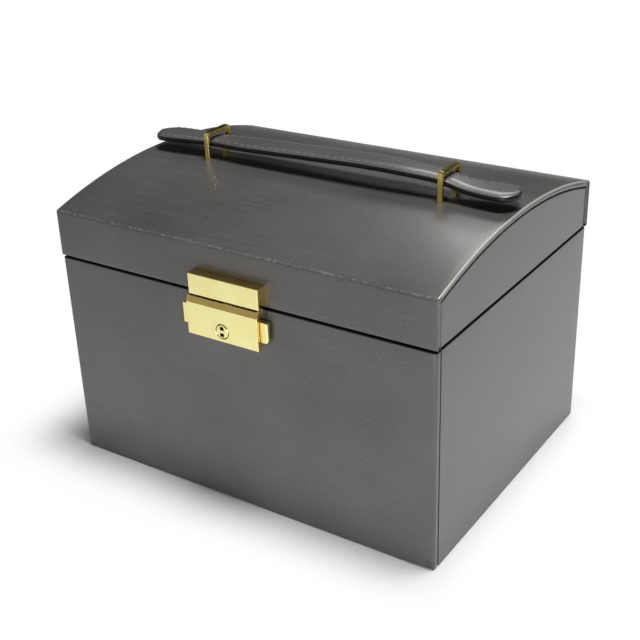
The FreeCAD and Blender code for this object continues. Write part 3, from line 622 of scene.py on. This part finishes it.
# %% [markdown]
# The lip round the dome's ends has a painted highlight, the palest leather on the box, and the groove inside
# it painted shade, one of the darkest, as has the edge that closes the seam. Both are picked by how far a
# face lies inside the outline.
# Solidify then gives the sheet its thickness, inwards, a hair thinner than the real leather so that it
# clears the board. In the sharp folds it can push a point out past the lid, so the points are brought back
# to the lid's own box.

# %% The lid's lip, groove and thickness
RIM_BOTTOM = 0.147
LIP_FROM, LIP_INSET = 0.1143, 0.0007
GROOVE_FROM, GROOVE_OUTER, GROOVE_INNER = 0.1140, 0.0009, 0.0024
HEM_HEIGHT = 0.0005
SHEET = LEATHER * 0.95
LID_CREASE = 50


def rim_inset(centre):
    """How far a place lies inside the lid's outline, seen from the end."""
    from_dome = DOME_RADIUS - math.hypot(centre.y, centre.z - DOME_CENTRE)
    return min(DEPTH / 2 - abs(centre.y), from_dome)


def on_lip(centre, normal):
    """Whether a face belongs to the rounded lip at the dome's ends."""
    at_rim = centre.z >= RIM_BOTTOM and abs(centre.x) > LIP_FROM
    return at_rim and rim_inset(centre) < LIP_INSET


def in_groove(centre, normal):
    """Whether a face belongs to the groove inside the lip, or to the lid's lower edge."""
    at_rim = centre.z >= RIM_BOTTOM and abs(centre.x) > GROOVE_FROM
    beside_lip = at_rim and GROOVE_OUTER < rim_inset(centre) < GROOVE_INNER
    return centre.z < LID_BOTTOM + HEM_HEIGHT or beside_lip


# The lip gets a painted highlight, and the groove and the lid's lower edge get painted shade.
shade(lid_leather, lip_highlight_leather, on_lip)
shade(lid_leather, painted_shade_leather, in_groove)
thickness = lid_leather.modifiers.new("thickness", "SOLIDIFY")
thickness.thickness = SHEET
thickness.offset = -1.0
plain_mesh(lid_leather)
for vertex in lid_leather.data.vertices:
    vertex.co.x = max(-WIDTH / 2, min(WIDTH / 2, vertex.co.x))
    vertex.co.z = max(LID_BOTTOM, vertex.co.z)
lid_leather.data.set_sharp_from_angle(angle=math.radians(LID_CREASE))
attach(lid_leather, "lid")
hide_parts("lid_cover")
print("lid leather:", len(lid_leather.data.polygons), "faces")

# %% [markdown]
# The strap is two layers of leather stitched together round a thin filler. Seen from the end its top is
# crowned: a flat middle, then a margin that slopes down to the edge outside the stitching. Its outline is
# wide and round at the ends and narrow where the brass loops hold it, and its own weight bows it a little.
# All of these are rules, so the strap is lofted from cross-sections, and the same rules place the stitches.

# %% The strap's outline
STRAP_ENDS = (-0.1118, 0.1140)
LOOPS = (-0.0704, 0.0751)
HANDLE_Y = -0.0022
GRIP, NECK, PADDLE = 0.0090, 0.0075, 0.0098
TAPER = 0.028
ROUND_END = 0.009
STRAP_TOP, STRAP_THICK = 0.1732, 0.0040
MARGIN, SLOPE = 0.0030, 0.0009
DISH, DISH_WIDTH = 0.00030, 0.002
# Places along the length, each with how far the strap hangs there below its highest point.
BOW = ((-0.1148, 0.0046), (-0.0904, 0.0034), (-0.0514, 0.0026), (-0.0100, 0.0012), (0.0380, 0.0),
       (0.0711, 0.0014), (0.0861, 0.0040), (0.1000, 0.0046), (0.1170, 0.0044))


def half_width(x):
    """Half the strap's width at a place along its length."""
    left, right = LOOPS
    if x < left:
        width = NECK + (PADDLE - NECK) * smooth((left - x) / TAPER)
        tip = x - STRAP_ENDS[0]
    elif x > right:
        width = NECK + (PADDLE - NECK) * smooth((x - right) / TAPER)
        tip = STRAP_ENDS[1] - x
    else:
        width = NECK + (GRIP - NECK) * smooth(min(x - left, right - x) / TAPER)
        tip = ROUND_END
    if tip < ROUND_END:
        width *= math.sqrt(max(0.0, 1 - (1 - tip / ROUND_END) ** 2))
    return width


def bow_slope(index):
    """How steeply the strap falls at one of the places in BOW."""
    before = BOW[max(index - 1, 0)]
    after = BOW[min(index + 1, len(BOW) - 1)]
    return (after[1] - before[1]) / (after[0] - before[0])


def strap_height(x):
    """Height of the strap's highest line: a smooth curve through the places in BOW."""
    index = max(number for number in range(len(BOW) - 1) if number == 0 or BOW[number][0] <= x)
    (start, fall), (stop, next_fall) = BOW[index], BOW[index + 1]
    span = stop - start
    share = (x - start) / span
    pull = share * (1 - share) ** 2 * bow_slope(index) - share ** 2 * (1 - share) * bow_slope(index + 1)
    return STRAP_TOP - fall - (next_fall - fall) * smooth(share) - pull * span


def crown_drop(distance):
    """How far the top lies below its highest line, at a distance in from the edge."""
    if distance < MARGIN:
        return SLOPE * (1 - distance / MARGIN) + DISH
    return DISH * (1 - min(1.0, (distance - MARGIN) / DISH_WIDTH)) ** 2


print("strap half widths:", [round(half_width(x), 4) for x in (-0.111, -0.1, -0.07, 0.0, 0.075, 0.1)])

# %% [markdown]
# A loft joins cross-sections that all have the same number of points in the same order: here over the
# crowned top, round one edge, back along the underside and up the other edge. The sections stand closer
# together in the round ends, where the width changes fast. The first and the last are closed with a face of
# their own.

# %% The strap
EDGE = 0.0010
LEAST_WIDTH = 0.0004


def strap_section(x, top_steps=8, side_steps=6):
    """One closed cross-section of the strap, from one side of the top round to where it began."""
    width = max(half_width(x), LEAST_WIDTH)
    top = strap_height(x)
    edge = min(EDGE, width * 0.5)
    across = []
    for step in range(-top_steps, top_steps + 1):
        y = (width - edge) * step / top_steps
        across.append((y, top - crown_drop(width - abs(y))))
    edge_top = across[-1][1]
    bottom = top - STRAP_THICK
    middle = (edge_top + bottom) / 2
    half = (edge_top - bottom) / 2
    side = []
    for step in range(1, side_steps):
        angle = math.pi * step / side_steps
        side.append((width - edge + edge * math.sin(angle), middle + half * math.cos(angle)))
    under = [((width - edge) * (1 - step / 2), bottom) for step in range(5)]
    far_side = [(-y, z) for y, z in side[::-1]]
    return across + side + under + far_side


def strap_places(count=110, end_steps=12):
    """Where the cross-sections stand along the length."""
    start, stop = STRAP_ENDS
    inner = stop - start - 2 * ROUND_END
    rounds = [ROUND_END * (1 - math.cos(math.pi / 2 * step / end_steps)) for step in range(end_steps + 1)]
    straight = [start + ROUND_END + inner * step / count for step in range(1, count)]
    return [start + place for place in rounds] + straight + [stop - place for place in rounds[::-1]]


bm = bmesh.new()
rings = []
for x in strap_places():
    rings.append([bm.verts.new((x, HANDLE_Y + y, z)) for y, z in strap_section(x)])
for near, far in zip(rings, rings[1:]):
    for index in range(len(near)):
        following = (index + 1) % len(near)
        bm.faces.new((near[index], near[following], far[following], far[index]))
for ring in (rings[0], rings[-1]):
    bm.faces.new(ring)
bmesh.ops.remove_doubles(bm, verts=bm.verts, dist=TOUCHING)
bmesh.ops.recalc_face_normals(bm, faces=bm.faces)
strap_piece = new_piece("strap_leather", bm, strap_leather)
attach(strap_piece, "strap")
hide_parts("handle_strap")
print("strap:", len(strap_piece.data.polygons), "faces")

# %% [markdown]
# Stitches repeat along a path, which is what Geometry Nodes are for. The tree takes a line, spreads points
# on it one stitch apart, and puts a short thread on each, turned along the line. Its inputs are the
# stitch's pitch, length and thickness, so one tree serves every seam.

# %% A stitching tree
def stitch_tree():
    """The node tree that turns a line into a row of stitches."""
    tree = bpy.data.node_groups.new("stitching", "GeometryNodeTree")
    face = tree.interface
    face.new_socket("Geometry", in_out="INPUT", socket_type="NodeSocketGeometry")
    for name, value in (("Pitch", 0.005), ("Length", 0.003), ("Thickness", 0.0006)):
        socket = face.new_socket(name, in_out="INPUT", socket_type="NodeSocketFloat")
        socket.default_value = value
    face.new_socket("Thread", in_out="INPUT", socket_type="NodeSocketMaterial")
    face.new_socket("Geometry", in_out="OUTPUT", socket_type="NodeSocketGeometry")

    def add(kind, settings=None, inputs=None):
        node = tree.nodes.new(kind)
        for key, value in (settings or {}).items():
            setattr(node, key, value)
        for key, value in (inputs or {}).items():
            if isinstance(value, bpy.types.NodeSocket):
                tree.links.new(value, node.inputs[key])
            else:
                node.inputs[key].default_value = value
        return node

    given = add("NodeGroupInput").outputs
    line = add("GeometryNodeMeshToCurve", {}, {"Mesh": given["Geometry"]}).outputs["Curve"]
    spread = add("GeometryNodeResampleCurve", {"mode": "LENGTH"}, {"Curve": line, "Length": given["Pitch"]})
    tangent = add("GeometryNodeInputTangent").outputs["Tangent"]
    turned = add("FunctionNodeAlignRotationToVector", {"axis": "X"}, {"Vector": tangent}).outputs["Rotation"]
    thread = add("GeometryNodeMeshUVSphere", {}, {"Segments": 8, "Rings": 6, "Radius": 0.5}).outputs["Mesh"]
    sides = {"X": given["Length"], "Y": given["Thickness"], "Z": given["Thickness"]}
    size = add("ShaderNodeCombineXYZ", {}, sides).outputs[0]
    inputs = {"Points": spread.outputs["Curve"], "Instance": thread, "Rotation": turned, "Scale": size}
    placed = add("GeometryNodeInstanceOnPoints", {}, inputs).outputs["Instances"]
    solid = add("GeometryNodeRealizeInstances", {}, {"Geometry": placed}).outputs["Geometry"]
    smooth_thread = add("GeometryNodeSetShadeSmooth", {}, {"Geometry": solid}).outputs["Geometry"]
    painted = add("GeometryNodeSetMaterial", {}, {"Geometry": smooth_thread, "Material": given["Thread"]})
    add("NodeGroupOutput", {}, {"Geometry": painted.outputs["Geometry"]})
    return tree


def set_input(modifier, name, value):
    """Sets a tree's input by the identifier that its name stands for."""
    for item in modifier.node_group.interface.items_tree:
        if item.item_type == "SOCKET" and item.in_out == "INPUT" and item.name == name:
            modifier[item.identifier] = value


stitching = stitch_tree()
print("stitching tree:", len(stitching.nodes), "nodes")

# %% [markdown]
# The thread is a twisted grey one, a little lighter than the leather. Fine noise stretched along the strap
# stands for its twist, and drives the colour, the roughness and the bump together.

# %% Thread
thread_paint = Painter(bpy.data.materials.new("grey thread"))
twist = thread_paint.noise((1400.0, 5000.0, 5000.0), detail=2.0)
thread = thread_paint.surface({
    "Base Color": thread_paint.blend(twist, srgb(88, 85, 82), srgb(150, 145, 140)),
    "Roughness": 0.42 + (twist - 0.5) * 0.2, "Normal": thread_paint.bump(twist, 0.0001, 0.5)})
print("thread:", thread.name)

# %% [markdown]
# The strap's seam is one closed line, a little inside the edge. It follows the strap's own rules for width
# and height, and lies a hair lower, because pulled thread sinks into leather. What the tree makes is turned
# into a plain mesh that rides on the strap.

# %% The strap's stitches
STITCH_INSET = 0.0023
STITCH_SINK = 0.00012


def seam_line(name, points):
    """A bare line of edges through points, closed into a loop."""
    mesh = bpy.data.meshes.new(name)
    edges = [(index, (index + 1) % len(points)) for index in range(len(points))]
    mesh.from_pydata(points, edges, [])
    line = bpy.data.objects.new(name, mesh)
    bpy.context.scene.collection.objects.link(line)
    return line


def stitch_along(name, points, body, pitch, length, thickness):
    """A piece of stitches along points, on a body and in a material slot."""
    line = seam_line(name, points)
    modifier = line.modifiers.new("stitching", "NODES")
    modifier.node_group = stitching
    for key, value in (("Pitch", pitch), ("Length", length), ("Thickness", thickness), ("Thread", thread)):
        set_input(modifier, key, value)
    plain_mesh(line)
    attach(line, body)
    print(name, len(line.data.polygons), "faces")


def strap_seam(steps=220):
    """The seam's points: along the near edge, round the end and back along the far edge."""
    start, stop = STRAP_ENDS
    inner_round = ROUND_END - STITCH_INSET
    near = []
    far = []
    for step in range(steps + 1):
        share = step / steps
        x = start + STITCH_INSET + (stop - start - 2 * STITCH_INSET) * share
        tip = min(x - start, stop - x) - STITCH_INSET
        width = half_width(x) - STITCH_INSET
        if tip < inner_round:
            width = (PADDLE - STITCH_INSET) * math.sqrt(max(0.0, 1 - (1 - tip / inner_round) ** 2))
        width = max(width, 0.0)
        z = strap_height(x) - crown_drop(STITCH_INSET) - STITCH_SINK
        near.append((x, HANDLE_Y - width, z))
        far.append((x, HANDLE_Y + width, z))
    return near + far[-2:0:-1]


stitch_along("strap_stitches", strap_seam(), "strap",
             pitch=0.0047, length=0.0032, thickness=0.0007)

# %% [markdown]
# The ring rolls are velvet pushed over soft filling, so they are padded pieces. One roll is puffed up with
# the cloth solver: its mesh is evened out with a voxel remesh, blown up from inside for a few frames, and
# held so that no point travels far.

# %% One ring roll
ROLLS = 5
ROLL_PITCH = 0.0162
ROLL_ROOM, FOOT_ROOM = 0.0010, 0.0008
rolls_low, rolls_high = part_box("ring_rolls")
roll_width = (rolls_high[1] - rolls_low[1]) - ROLL_PITCH * (ROLLS - 1)


def roll_shape(steps=12):
    """One roll, a little smaller than the room it has, with a round top."""
    bm = bmesh.new()
    half = roll_width / 2 - ROLL_ROOM
    low = rolls_low[2] + FOOT_ROOM
    shoulder = rolls_high[2] - roll_width / 2
    ends = (rolls_low[0] + ROLL_ROOM, rolls_high[0] - ROLL_ROOM)
    outline = [(-half, low), (-half, shoulder)]
    for step in range(1, steps):
        angle = math.pi * step / steps
        outline.append((-half * math.cos(angle), shoulder + half * math.sin(angle)))
    outline += [(half, shoulder), (half, low)]
    rings = [[bm.verts.new((x, y, z)) for y, z in outline] for x in ends]
    for index in range(len(outline)):
        following = (index + 1) % len(outline)
        bm.faces.new((rings[0][index], rings[0][following], rings[1][following], rings[1][index]))
    for ring in rings:
        bm.faces.new(ring)
    bmesh.ops.recalc_face_normals(bm, faces=bm.faces)
    return bm


def puff(piece, voxel, pressure, cap, frames=20):
    """Blows a closed mesh up as cloth, and keeps each point within a cap of where it began."""
    remesh = piece.modifiers.new("remesh", "REMESH")
    remesh.mode = "VOXEL"
    remesh.voxel_size = voxel
    plain_mesh(piece)
    rest = [vertex.co.copy() for vertex in piece.data.vertices]
    cloth = piece.modifiers.new("cloth", "CLOTH")
    cloth.settings.use_pressure = True
    cloth.settings.uniform_pressure_force = pressure
    cloth.settings.effector_weights.gravity = 0.0
    cloth.point_cache.frame_start = 1
    cloth.point_cache.frame_end = frames
    for number in range(1, frames + 1):
        bpy.context.scene.frame_set(number)
    plain_mesh(piece)
    bpy.context.scene.frame_set(1)
    for vertex, home in zip(piece.data.vertices, rest):
        move = vertex.co - home
        if move.length > cap:
            vertex.co = home + move.normalized() * cap
        vertex.co.z = max(vertex.co.z, rolls_low[2])
    return piece


first_roll = new_piece("ring_roll_source", roll_shape(), pad_velvet)
puff(first_roll, voxel=0.0022, pressure=4.0, cap=0.0011)
print("one ring roll:", len(first_roll.data.polygons), "faces")

# %% [markdown]
# The five rolls are alike, so the first is copied side by side into one piece.

# %% Five ring rolls
bm = bmesh.new()
for number in range(ROLLS):
    centre = rolls_low[1] + roll_width / 2 + ROLL_PITCH * number
    before = len(bm.verts)
    bm.from_mesh(first_roll.data)
    bm.verts.ensure_lookup_table()
    for vertex in bm.verts[before:]:
        vertex.co.y += centre
bpy.data.objects.remove(first_roll)
ring_pads = new_piece("ring_roll_pads", bm, pad_velvet)
soften = ring_pads.modifiers.new("soften", "SUBSURF")
soften.levels = 1
soften.render_levels = 1
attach(ring_pads, "case")
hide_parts("ring_rolls")
print("ring rolls:", len(ring_pads.data.polygons), "faces")

# %% [markdown]
# The box stands on a plain pale floor. Round the foot of the box it is an ordinary surface, which takes the
# lamps' light and the box's soft shadow. Further out it fades to pure white, but to the camera alone, as
# the backdrop of a catalogue picture does. The ordinary part is shifted a little to the left, where the
# shadow falls.

# %% Floor
FLOOR_REACH = 8.0
FLOOR_DROP = 0.0002
FADE_SHIFT, FADE_WIDTH = 0.015, 0.052


def floor_finish():
    """A pale surface that fades to white, for the camera, away from the box."""
    paint = Painter(bpy.data.materials.new("pale floor"))
    camera_ray = paint.add("ShaderNodeLightPath", output="Is Camera Ray")
    beside = ((paint.axis("Object", 0) + FADE_SHIFT).size() - WIDTH / 2).at_least(0.0)
    before = (paint.axis("Object", 1).size() - DEPTH / 2).at_least(0.0)
    away = (beside * beside + before * before) ** 0.5
    limits = {"Value": away, "From Min": 0.0, "From Max": FADE_WIDTH}
    fade = paint.add("ShaderNodeMapRange", {"interpolation_type": "SMOOTHSTEP"}, limits)
    plain = paint.add("ShaderNodeBsdfDiffuse", {}, {"Color": (0.9, 0.9, 0.9, 1.0)})
    white = paint.add("ShaderNodeEmission", {}, {"Color": (1.0, 1.0, 1.0, 1.0), "Strength": 1.0})
    mixed = paint.add("ShaderNodeMixShader", {}, {0: fade * camera_ray, 1: plain, 2: white})
    paint.add("ShaderNodeOutputMaterial", {}, {"Surface": mixed})
    return paint.owner


floor_mesh = bpy.data.meshes.new("floor")
corners = [(x * FLOOR_REACH, y * FLOOR_REACH, 0.0) for x, y in ((-1, -1), (1, -1), (1, 1), (-1, 1))]
floor_mesh.from_pydata(corners, [], [(0, 1, 2, 3)])
floor_mesh.materials.append(floor_finish())
floor = bpy.data.objects.new("floor", floor_mesh)
bpy.context.scene.collection.objects.link(floor)
floor.location.z = -FLOOR_DROP
print("floor:", FLOOR_REACH * 2, "m square")

# %% [markdown]
# A product photograph is lit by large soft lamps. The main one hangs nearly over the box, a little to its
# right, and keeps the shadow close to the foot. A weak one stands low in front, on the camera's side, and
# lifts the front and the right end. A third, behind and to the left, gives the dome its sheen.

# %% Lamps
AIM = Vector((0.0, 0.0, 0.08))
# Each lamp's name, place, width and power in watts.
LAMPS = (("ceiling lamp", (0.22, 0.02, 1.65), 0.5, 27.5),
         ("front lamp", (0.31, -0.53, 0.11), 0.25, 1.15),
         ("glow lamp", (-0.24, 0.82, 1.00), 0.4, 2.4))
for name, place, size, power in LAMPS:
    data = bpy.data.lights.new(name, "AREA")
    data.shape = "SQUARE"
    data.size = size
    data.energy = power
    light = bpy.data.objects.new(name, data)
    light.location = place
    light.rotation_euler = (AIM - Vector(place)).to_track_quat("-Z", "Y").to_euler()
    bpy.context.scene.collection.objects.link(light)

# %% [markdown]
# The room is white to the camera and dark to matt surfaces, so the lamps alone shape the box. What shines
# needs something to mirror: its rays see a dim room that is brighter in front of the box than behind it.

# %% Room
BEHIND, GLOW_BEHIND = 0.3, 0.03
BEFORE, GLOW_BEFORE = -0.4, 0.40
world = bpy.data.worlds.new("room")
bpy.context.scene.world = world
room = Painter(world)
camera_ray = room.add("ShaderNodeLightPath", output="Is Camera Ray")
mirror_ray = room.add("ShaderNodeLightPath", output="Is Glossy Ray")
limits = {"Value": room.axis("Generated", 1), "From Min": BEHIND, "From Max": BEFORE,
          "To Min": GLOW_BEHIND, "To Max": GLOW_BEFORE}
in_front = room.add("ShaderNodeMapRange", {"interpolation_type": "SMOOTHSTEP"}, limits)
strength = camera_ray + mirror_ray * in_front
glow = room.add("ShaderNodeBackground", {}, {"Color": (1.0, 1.0, 1.0, 1.0), "Strength": strength})
room.add("ShaderNodeOutputWorld", {}, {"Surface": glow})
bpy.context.scene.view_settings.view_transform = "Standard"
print("room:", world.name)
